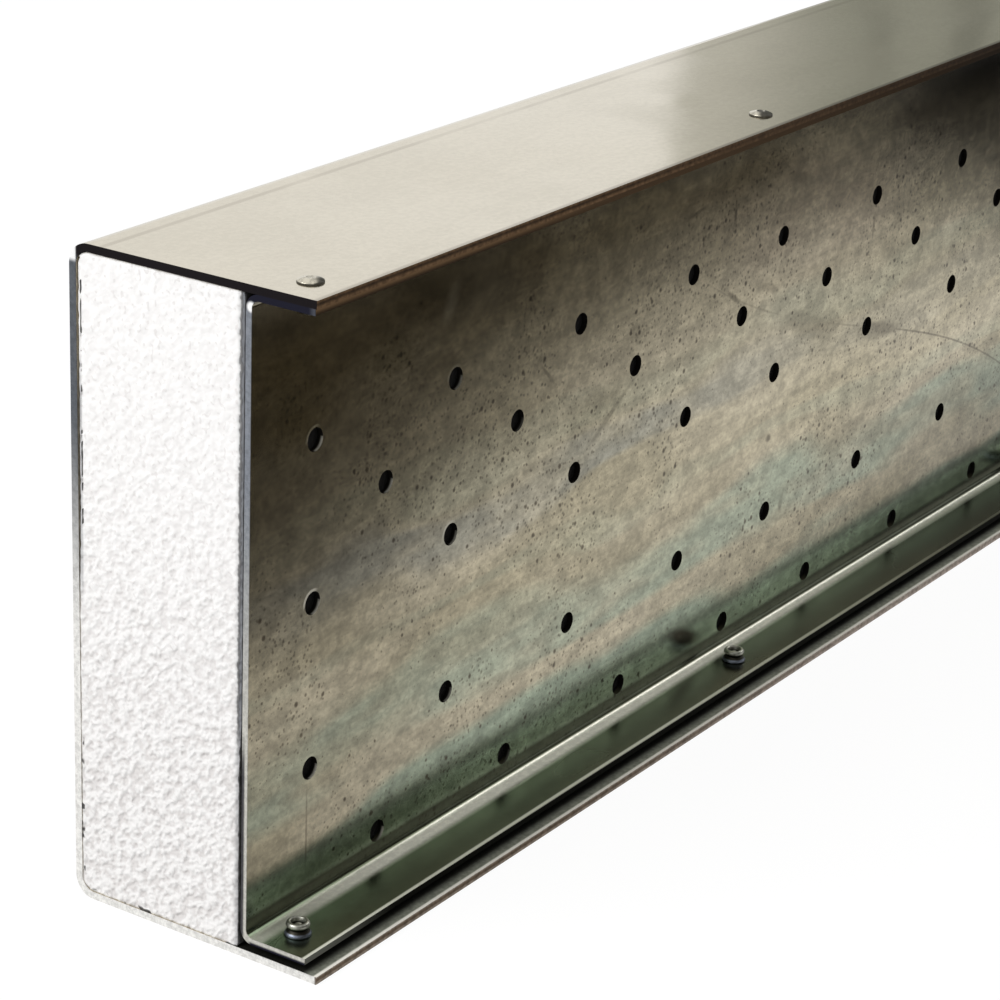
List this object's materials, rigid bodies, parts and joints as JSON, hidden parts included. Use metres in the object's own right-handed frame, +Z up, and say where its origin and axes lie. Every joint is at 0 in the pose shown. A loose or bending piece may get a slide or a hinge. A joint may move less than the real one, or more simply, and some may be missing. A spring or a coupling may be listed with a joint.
{
  "type": "insulated steel box lintel",
  "caption": "Insulated box lintel of folded galvanised channels riveted round a white foam core, with a perforated web as a plaster key.",
  "frame": {"origin": "middle of the bottom face that the lintel stands and bears on", "axes": "+X along the length, +Y out of the plain back web, +Z up; the perforated web and its open recess face -Y"},
  "size_m": [1.2, 0.095, 0.2165],
  "materials": {
    "outer_sheet": "galvanised, matt, weathered",
    "inner_sheet": "galvanised, matt, stained and speckled",
    "foam": "expanded bead foam, sawn end",
    "rivet": "plated, satin"
  },
  "bodies": {
    "root": {"outer_channel": "outer_sheet", "inner_channel": "inner_sheet", "foam_core": "foam", "top_rivet_1": "rivet", "top_rivet_2": "rivet", "top_rivet_3": "rivet", "top_rivet_4": "rivet", "top_rivet_5": "rivet", "top_rivet_6": "rivet", "bottom_rivet_1": "rivet", "bottom_rivet_2": "rivet", "bottom_rivet_3": "rivet", "bottom_rivet_4": "rivet", "bottom_rivet_5": "rivet", "bottom_rivet_6": "rivet"}
  },
  "joints": []
}
